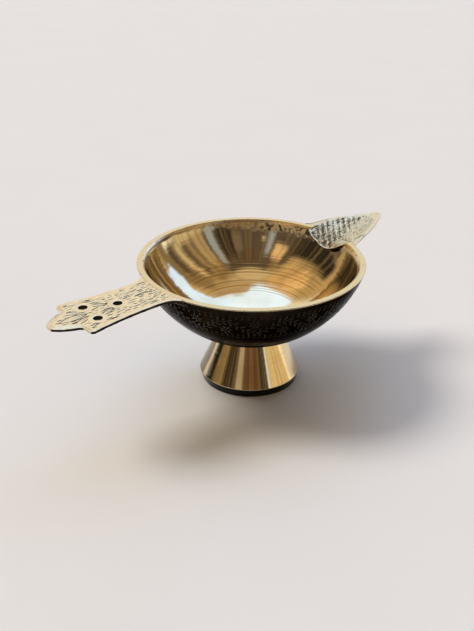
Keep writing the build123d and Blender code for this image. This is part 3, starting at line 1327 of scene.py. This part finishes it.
def punched_dots(along, across):
    """One dot in each cell of a grid, shifted a little, with some cells left plain."""
    row = np.floor(along / dot_pitch)
    column = np.floor(across / dot_pitch)
    middle_along = (row + 0.5 + dot_shift * (scatter(row, column, 5) - 0.5)) * dot_pitch
    middle_across = (column + 0.5 + dot_shift * (scatter(row, column, 6) - 0.5)) * dot_pitch
    off = np.hypot(along - middle_along, across - middle_across)
    kept = scatter(row, column, 7) > dot_gaps
    return np.where(kept, np.clip(dot_steepness * (1 - off / dot_radius), 0, 1), 0)


def leaf_cuts(along, across):
    """Cut depth of veins and dots, as a share from 0 to 1."""
    far = ease(across - broad_edge - broad_lean * along, *broad_soft)
    veins = far * slanted_veins(along, across) + (1 - far) * fine_lines(along, across)
    off_lobe = ease(along + dot_spread * np.abs(across), *lobe_reach)
    dots = punched_dots(along, across) * (dot_strength - dot_fade * off_lobe)
    sooty = soot_strength * ease(across, *soot_side) * (1 - ease(along, *lobe_reach))
    return np.maximum(veins, dots) + sooty


print("leaf veins are", vein_pitch, "mm apart")

# %% [markdown]
# ## Trough and border
# A recast leaf doesn't know which of its points are trough and which are border. They could be picked by
# hand, but the trough is a known cylinder and the border a known plane, so a point within a hair of
# either belongs to it. Only the trough is cut, and the cuts fade out towards its edges.

# %% Trough and border
leaf_fineness = 0.18 * mm
lobe_start = -4.0
trough_edge = 0.05
trough_full = 0.3
lip_edge = 0.25
lip_full = 0.6
steepest_top = 0.5


def leaf_trough(along, across):
    """Height of the scoop in the leaf's own frame."""
    lift = trough_curve / mm - np.sqrt((trough_curve / mm) ** 2 - across**2)
    return -trough_depth / mm + along * tan(trough_fall) + lift / cos(trough_fall)


leaf_shape = recast("leaf_wick_rest", leaf_fineness)
points = local_points(leaf_shape, leaf_plane)
scoop = leaf_trough(points[:, 0], points[:, 1])
below = scoop - points[:, 2]
on_border = (np.abs(points[:, 2]) < flat_band) & (scoop > 0)
in_trough = (np.abs(below) < 1.5 * flat_band) & (scoop < -trough_edge)
steep = np.array([abs(vert.normal.z) < steepest_top for vert in leaf_shape.verts])
lobe_side = steep & (below > 2 * flat_band) & (points[:, 0] < lobe_start)
from_lobe_edge = edge_distance(points, lobe_side)
hollow = ease(np.where(in_trough, -scoop, 0), trough_edge, trough_full)
hollow = hollow * ease(from_lobe_edge, lip_edge, lip_full)
cut = hollow * leaf_cuts(points[:, 0], points[:, 1])
points[:, 2] = np.where(on_border, 0, points[:, 2])
print("points in the trough:", int(in_trough.sum()), "and on the border:", int(on_border.sum()))

# %% [markdown]
# ## The lobe
# The lobe over the bowl is thinner towards its end, and its lip hangs down, more on one side than on the
# other. A lattice could bend it, but two lines do as well: what lies below the scoop is drawn up towards
# it, and then the end sinks by a share that grows inwards.

# %% The lobe
lobe_taper = 0.6
lobe_length = 8.2
lobe_margin = 0.1
lip_start = 3.5
lip_drop = 1.6
lip_middle = -4.0
lip_half = 6.5

inward = np.clip((lobe_start - points[:, 0]) / (lobe_length + lobe_start), 0, 1)
thin = (below > 2 * flat_band) & (np.abs(points[:, 1]) < lobe_half / mm + lobe_margin)
points[:, 2] = np.where(thin, scoop - below * (1 - lobe_taper * inward), points[:, 2])
bend = ease(-points[:, 0], lip_start, lobe_length)
points[:, 2] -= lip_drop * bend * np.clip(1 - ((points[:, 1] - lip_middle) / lip_half) ** 2, 0, 1)
print("lip hangs down by up to", lip_drop, "mm")

# %% [markdown]
# ## The wings
# Beside the lobe the leaf's wings run out onto the rim and are filed down to meet it. They could be cut
# off by a plane, which would leave a hard line. The height of the rim is known in the leaf's own frame,
# so the wings are blended down to it, the more the closer they come.

# %% The wings
blend_reach = 10.0
wing_lift = 0.04
wing_start = 0.8
wing_full = 0.4

from_axis = np.array([vert.co.xy.length for vert in leaf_shape.verts]) / mm
beside_lobe = ease(np.abs(points[:, 1]), lobe_half / mm - wing_start, lobe_half / mm + wing_full)
near_rim = 1 - ease(from_axis, rim_radius / mm, rim_radius / mm + blend_reach)
rim_level = -leaf_step / mm - points[:, 0] * tan(leaf_rise)
blend = np.where(points[:, 0] > lobe_start, beside_lobe * near_rim, 0)
points[:, 2] = np.minimum(points[:, 2], wing_lift * (1 - blend) + rim_level * blend)
print("wings are filed down over", blend_reach, "mm")

# %% [markdown]
# ## The leaf's edges
# The outer corner of the border is rounded and bright from handling, and so is the lip of the lobe. The
# edge could be bevelled, but a recast copy has no edge to pick. So the border sinks by its distance from
# the side walls. The underside and the end of the lobe are painted dark with the soot colour, as painted
# shade.

# %% Leaf
vein_depth = 0.3
worn_fall = 0.15
leaf_worn_start = 0.1
lip_worn = (0.2, 0.5)
root_blend = (0.02, 0.35)
edge_bottom = 0.9
shallow = 0.2

at_edge = (points[:, 2] < -side_margin) & (points[:, 2] > -edge_bottom)
outside_rim = from_axis > rim_radius / mm + rim_clearance / mm
outer_side = at_edge & outside_rim & ~in_trough & (scoop > -shallow)
away = edge_distance(points, outer_side)
worn = np.where(on_border, 1 - ease(away, leaf_worn_start, edge_width), 0)
points[:, 2] -= worn_fall * worn + vein_depth * cut
worn = np.maximum(worn, np.where(in_trough, 1 - ease(from_lobe_edge, *lip_worn), 0))
lap_root(points, leaf_plane, root_lap)
root = np.where(in_trough, 0, ease(blend, *root_blend))
# shaded marks the lobe's underside and end, which get painted shade
shaded = np.where((below > 3 * flat_band) & (points[:, 0] < lobe_start), 1, 0)
set_points(
    leaf_shape, leaf_plane, points, cut=cut, worn=worn, hollow=hollow, shaded=shaded, root=root
)
make_piece(
    "veined_leaf", leaf_shape, [leaf_finish], "bowl", "leaf_wick_rest", recast_crease
)

# %% [markdown]
# ## Brazing
# The handle and the leaf are held by runs of brazing metal underneath, which are painted dark like the
# outside of the bowl, as painted shade. They could have the bowl's own finish, but a run of brazing is
# never turned or buffed, so it is duller and more clouded.

# %% Brazing finish
braze_bronze = (0.12, 0.09, 0.05, 1)


def blackened_braze():
    finish = Finish("blackened_braze")
    cloud = finish.noise(finish.place, 0.9, 3)
    grain = finish.noise(finish.place, 4, 2)
    finish.paint(
        Base_Color=finish.mix(finish.step(cloud, 0.5, 0.8), painted_shade_brown, braze_bronze),
        Metallic=1,
        Roughness=0.28 + 0.18 * grain,
        Normal=finish.bump(grain, 0.02 * mm),
    )
    return finish


braze_finish = blackened_braze()

# %% [markdown]
# ## Ripples of the brazing
# A run of brazing freezes in small ripples across its length. They could be bump, but then they'd be
# missing from the mesh. So each run is recast, its surface swells and sinks along it, and its ends are
# drawn in to the bowl.

# %% Brazing
whole_frame = Matrix.Identity(4)
braze_fineness = 0.15 * mm
ripple_pitch = 1.5
ripple_height = 0.09
end_taper = 3.5
braze_inner = rim_radius / mm - 0.2

for node, name in (("handle_braze", "handle_braze_run"), ("leaf_braze", "leaf_braze_run")):
    braze_shape = recast(node, braze_fineness)
    points = local_points(braze_shape, whole_frame)
    normals = np.array([vert.normal for vert in braze_shape.verts])
    ripple = np.sin(2 * pi * points[:, 1] / ripple_pitch + np.abs(points[:, 2]))
    points += normals * (ripple_height * (ripple - 1) / 2)[:, np.newaxis]
    reach = np.abs(points[:, 1])
    radius = np.hypot(points[:, 0], points[:, 1])
    drawn_in = ease(reach, reach.max() - end_taper, reach.max()) * np.maximum(1 - braze_inner / radius, 0)
    points[:, :2] *= (1 - drawn_in)[:, np.newaxis]
    set_points(braze_shape, whole_frame, points)
    make_piece(name, braze_shape, [braze_finish], "bowl", node, recast_crease)

# %% [markdown]
# ## Plated steel
# The screw that holds the foot and its washers are plated steel, a little uneven and rubbed. One grey would
# nearly do, because they are seldom seen, but a cloud in the colour and a grain in the gloss cost little.

# %% Plated steel
bright_steel = (0.66, 0.65, 0.60, 1)
dull_steel = (0.42, 0.41, 0.40, 1)


def plated_steel():
    finish = Finish("plated_steel")
    cloud = finish.noise(finish.place, 0.4, 3)
    grain = finish.noise(finish.place, 2.5, 3)
    finish.paint(
        Base_Color=finish.mix(cloud, bright_steel, dull_steel),
        Metallic=1,
        Roughness=0.22 + 0.18 * grain,
        Normal=finish.bump(grain, 0.01 * mm),
    )
    return finish


steel_finish = plated_steel()

# %% [markdown]
# ## Screw and washers
# The screw is recast like the castings, and its thread is a wave that climbs one pitch in each turn. A
# spun profile would give a thread too, but its ends would have to be joined to the head and the tip by
# hand. The two washers are right as they are in the CAD model, so they only get their finish.

# %% Screw and washers
screw_fineness = 0.13 * mm
thread_pitch = 1.0
thread_depth = 0.42
thread_start = 6.8
thread_end = 19.8
thread_rise = 0.5
thread_fade = 0.3
shank_inner = 2.6

screw_shape = recast("foot_screw", screw_fineness)
points = local_points(screw_shape, whole_frame)
height = points[:, 2]
radius = np.hypot(points[:, 0], points[:, 1])
climb = height / thread_pitch - np.arctan2(points[:, 1], points[:, 0]) / (2 * pi)
groove = np.abs(2 * (climb - np.floor(climb)) - 1)
threaded = ease(height, thread_start, thread_start + thread_rise)
threaded = threaded * (1 - ease(height, thread_end, thread_end + thread_fade))
threaded = np.where(radius > shank_inner, threaded, 0)
points[:, :2] *= (1 - thread_depth * groove * threaded / np.maximum(radius, shank_inner))[:, np.newaxis]
set_points(screw_shape, whole_frame, points)
make_piece(
    "threaded_screw", screw_shape, [steel_finish], "screw", "foot_screw", recast_crease
)
for node in ("plain_washer", "spring_washer"):
    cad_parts[node].data.materials.clear()
    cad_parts[node].data.materials.append(steel_finish.material)
print("washers get", steel_finish.material.name)

# %% [markdown]
# ## Floor
# The lamp stands on a plain pale floor with a faintly uneven matt finish, so that the lamp's shadow is
# all that shows on it. It could be a square, but low views would show a corner of that. It is one round
# face, whose far edge is level from every side.

# %% Floor
floor_radius = 4.0
floor_pale = (0.80, 0.79, 0.77, 1)
floor_worn = (0.77, 0.76, 0.74, 1)

floor_finish = Finish("pale_floor")
floor_cloud = floor_finish.noise(floor_finish.place, 0.02, 3)
floor_finish.paint(Base_Color=floor_finish.mix(floor_cloud, floor_pale, floor_worn), Roughness=0.75)


def stage_piece(name, shape, finish):
    """Turns a bmesh into a piece of the stage, which isn't part of the lamp."""
    mesh = bpy.data.meshes.new(name)
    shape.to_mesh(mesh)
    shape.free()
    mesh.materials.append(finish.material)
    piece = bpy.data.objects.new(name, mesh)
    scene.collection.objects.link(piece)
    piece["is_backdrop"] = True
    return piece


floor_shape = bmesh.new()
bmesh.ops.create_circle(floor_shape, cap_ends=True, segments=turn_steps, radius=floor_radius)
stage_piece("floor", floor_shape, floor_finish)
print("floor is", 2 * floor_radius, "m wide")

# %% [markdown]
# ## Studio
# Polished brass has hardly any colour of its own to show: it shows what is around it. So the studio is
# part of the finish. It could be thirty lamps and cards, each aimed by hand. Here one wide dome of light
# hangs round the lamp and is painted in soft panels, placed by their turn from the camera and their
# height, in degrees.

# %% Studio tools


class Studio(Finish):
    """The dome's light, painted panel by panel. Turn is 0 towards the camera and grows to its right."""

    def __init__(self, name, colour):
        super().__init__(name)
        direction = self.node("VectorMath", {"operation": "NORMALIZE"}, {0: self.place})
        to_right = Vector((cos(camera_turn), sin(camera_turn), 0))
        front = self.along(direction, towards_camera)
        right = self.along(direction, to_right)
        high = self.node("SeparateXYZ", {}, {0: direction}, "Z")
        self.turn = self.math("ARCTAN2", right, front) * (180 / pi)
        self.rise = self.math("ARCSINE", high) * (180 / pi)
        self.back = self.math("ARCTAN2", right, 0 - front) * (180 / pi)
        self.colour = (*colour, 1)
        self.panels = 0

    def along(self, direction, axis):
        return self.node("VectorMath", {"operation": "DOT_PRODUCT"}, {0: direction, 1: axis}, "Value")

    def between(self, value, low, high, soft):
        return self.step(value, low - soft, low + soft) * self.step(value, high + soft, high - soft)

    def hang(self, share, colour):
        self.colour = self.mix(share, self.colour, (*colour, 1))
        self.panels += 1

    def panel(self, turns, rises, colour, soft=3, soft_rise=4, lean=0):
        """A panel from one turn to another and from one height to another. Lean tilts its upper edge."""
        low, high = rises
        upper = self.rise - lean * (self.turn - turns[1])
        share = self.between(self.turn, *turns, soft)
        share = share * self.step(self.rise, low - soft_rise, low + soft_rise)
        self.hang(share * self.step(upper, high + soft_rise, high - soft_rise), colour)

    def back_panel(self, backs, rises, colour, soft, soft_rise, lean=0, drop=0):
        """A panel that is placed by its turn from straight behind, where the other turn has its seam.
        Lean tilts its left edge, and drop lowers its upper edge towards the right."""
        low, high = rises
        left = self.back + lean * (self.rise - low)
        upper = self.rise + drop * self.math("MAXIMUM", self.back, 0)
        share = self.step(left, backs[0] - soft, backs[0] + soft)
        share = share * self.step(self.back, backs[1] + soft, backs[1] - soft)
        share = share * self.step(self.rise, low - soft_rise, low + soft_rise)
        self.hang(share * self.step(upper, high + soft_rise, high - soft_rise), colour)

    def streaks(self, turns, rises, colour, scale, depth):
        """Thin upright streaks, which draw together overhead."""
        lines = self.step(self.line_noise(self.turn, scale, 2), 0.46, 0.66)
        share = self.between(self.turn, *turns, 4) * self.between(self.rise, *rises, 4)
        self.hang(depth * share * lines, colour)

    def light(self):
        """The panels only give light, and mirror nothing themselves."""
        black = (0, 0, 0, 1)
        self.paint(Base_Color=black, Specular_IOR_Level=0, Emission_Color=self.colour, Emission_Strength=1)
        print("studio has", self.panels, "panels")


print("studio tools:", [name for name in vars(Studio) if not name.startswith("_")])

# %% [markdown]
# ## The panels
# Each line hangs one panel: its turns, its heights and its colour, and a later panel covers an earlier
# one. The largest stand behind the lamp and light it, warm ones are at the sides, and the front is dark
# with a few upright strips, which the foot and the far wall of the bowl draw out as streaks. Light panels
# alone would make the brass look like plaster, because polished metal looks like metal where light and
# dark meet.

# %% Panels
warm_card = (0.58, 0.41, 0.20)
brown_card = (0.31, 0.21, 0.10)
pale_gold = (0.82, 0.64, 0.36)
cream = (1.35, 1.2, 0.92)
amber = (0.76, 0.51, 0.24)
lit_gold = (1.05, 0.70, 0.34)
grey_warm = (0.66, 0.52, 0.31)
grey_gold = (0.48, 0.42, 0.31)
dim_gold = (0.25, 0.18, 0.095)
dark_card = (0.12, 0.088, 0.058)
umber_card = (0.24, 0.165, 0.10)
black_card = (0.028, 0.023, 0.017)
red_brown = (0.13, 0.062, 0.034)
grey_strip = (0.46, 0.51, 0.56)
white_strip = (0.95, 1.0, 1.05)
pale_card = (0.97, 0.93, 0.85)
back_light = (1.0, 1.34, 2.05)
side_light = (0.92, 1.28, 2.05)
low_card = (0.82, 0.80, 0.76)

studio = Studio("studio", warm_card)
studio.panel((-66, 62), (-10, 62), dark_card, soft=2)
studio.panel((-128, -60), (14, 50), black_card, soft=4, lean=0.36)
studio.panel((-70, 110), (66, 90), grey_warm, soft=10, soft_rise=5)
studio.panel((-60, 100), (60, 70), brown_card, soft=8, soft_rise=5)
studio.panel((-45, 62), (54, 72), dark_card, soft=8, soft_rise=2.5)
studio.streaks((58, 134), (54, 89), brown_card, 0.1, 0.85)
studio.panel((-152, -74), (46, 76), amber, soft=6, soft_rise=5)
studio.panel((-124, -102), (40, 62), lit_gold, soft=3)
studio.panel((84, 126), (2, 58), brown_card, soft=4)
studio.panel((-15, 23), (-10, 22), red_brown, soft_rise=2)
studio.panel((14, 27), (34, 54), umber_card, soft=2)
studio.panel((-19, -14), (38, 42), pale_gold, soft=1.5, soft_rise=2)
studio.panel((-4, 10), (52, 62), red_brown, soft=3)
studio.panel((27, 45), (-10, 58), black_card, soft=2)
studio.panel((44, 50), (-10, 24), white_strip, soft=1.5)
studio.panel((49, 58), (22, 62), grey_strip, soft=2)
studio.panel((51, 98), (-10, 22), pale_gold, soft=1)
studio.panel((97, 116), (-10, 12), cream, soft=3)
studio.panel((-31, -16), (-10, 26), grey_gold, soft=2)
studio.panel((-30, -22), (26, 56), grey_strip, soft=3)
studio.panel((-54, -35), (42, 57), lit_gold, soft=3)
studio.panel((-66, -40), (-10, 22), black_card, soft=2)
studio.panel((-89, -68), (-10, 13), dim_gold, soft=2)
studio.panel((-120, -91), (-10, 13), black_card, soft=2)
studio.panel((76, 82), (24, 62), dim_gold, soft=2)
studio.panel((88, 93), (22, 58), dark_card, soft=2)
studio.panel((96, 103), (16, 54), pale_gold, soft=3)
studio.panel((106, 114), (12, 40), dark_card, soft=2)
studio.streaks((-118, 124), (-10, 66), brown_card, 0.2, 0.55)
studio.back_panel((-36, 46), (-20, 42), pale_card, 6, 3)
studio.back_panel((-36, 38), (42, 84), back_light, 3, 3, lean=0.72, drop=0.5)
studio.panel((123, 137), (16, 37), side_light, soft=1.5, soft_rise=2, lean=0.5)
studio.panel((134, 156), (11, 72), side_light, soft=2, soft_rise=3, lean=1.5)
studio.panel((-190, 190), (-90, -1), low_card, soft_rise=1)
studio.light()

# %% [markdown]
# ## Dome and backdrop
# The dome is a round shell, so wide that all of the lamp sees a panel in the same direction. Like any
# lamp, it isn't drawn itself, but only lights and is mirrored. The panels could be painted on the world
# instead, but then they'd also show behind the floor, where there is now one plain pale colour.

# %% Dome and backdrop
dome_radius = 40
backdrop = (0.81, 0.76, 0.73)

dome_shape = bmesh.new()
bmesh.ops.create_icosphere(dome_shape, subdivisions=4, radius=dome_radius)
dome = stage_piece("studio_dome", dome_shape, studio)
dome.visible_camera = False
scene.world = bpy.data.worlds.new("plain_backdrop")
scene.world.use_nodes = True
scene.world.node_tree.nodes["Background"].inputs["Color"].default_value = (*backdrop, 1)
print("dome is", 2 * dome_radius, "m wide")

# %% [markdown]
# ## Key lamp
# The panels light the lamp from all around, so its shadow would be faint. One large soft lamp at the
# upper left gives the shadow a direction. It could be a sun, but the dome would shade that. A round area
# lamp just inside the dome is so far away that it lights the floor as evenly. It is left out of
# reflections, where it would show as a hard disc.

# %% Key lamp
key_light = 2.0
key_angle = radians(23)
key_distance = 0.75 * dome_radius
key_turn = camera_turn - radians(105)
key_rise = radians(52)
key_warmth = (1.0, 0.97, 0.93)

key_data = bpy.data.lights.new("key_lamp", "AREA")
key_data.shape = "DISK"
key_data.size = 2 * key_distance * tan(key_angle / 2)
key_data.energy = key_light * pi * key_distance**2
key_data.color = key_warmth
key_lamp = bpy.data.objects.new("key_lamp", key_data)
scene.collection.objects.link(key_lamp)
key_way = Vector((sin(key_turn) * cos(key_rise), -cos(key_turn) * cos(key_rise), sin(key_rise)))
key_aim = key_way.to_track_quat("Z", "Y").to_matrix().to_4x4()
key_lamp.matrix_world = Matrix.Translation(key_distance * key_way) @ key_aim
key_lamp.visible_glossy = False
print("key lamp stands at", [round(value, 2) for value in key_lamp.location])

# %% [markdown]
# ## Size against the frame
# The looks mustn't change the size of the lamp. It could be measured by eye in the editor, but a box is
# exact. So the box of what was made is written down beside the box of the packed frame.

# %% Size against the frame
visual_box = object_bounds()
sizes = {"cad": cad_box, "visual": visual_box}
for name, box in sizes.items():
    print(name, "box in mm:", [[round(value / mm, 2) for value in corner] for corner in box])
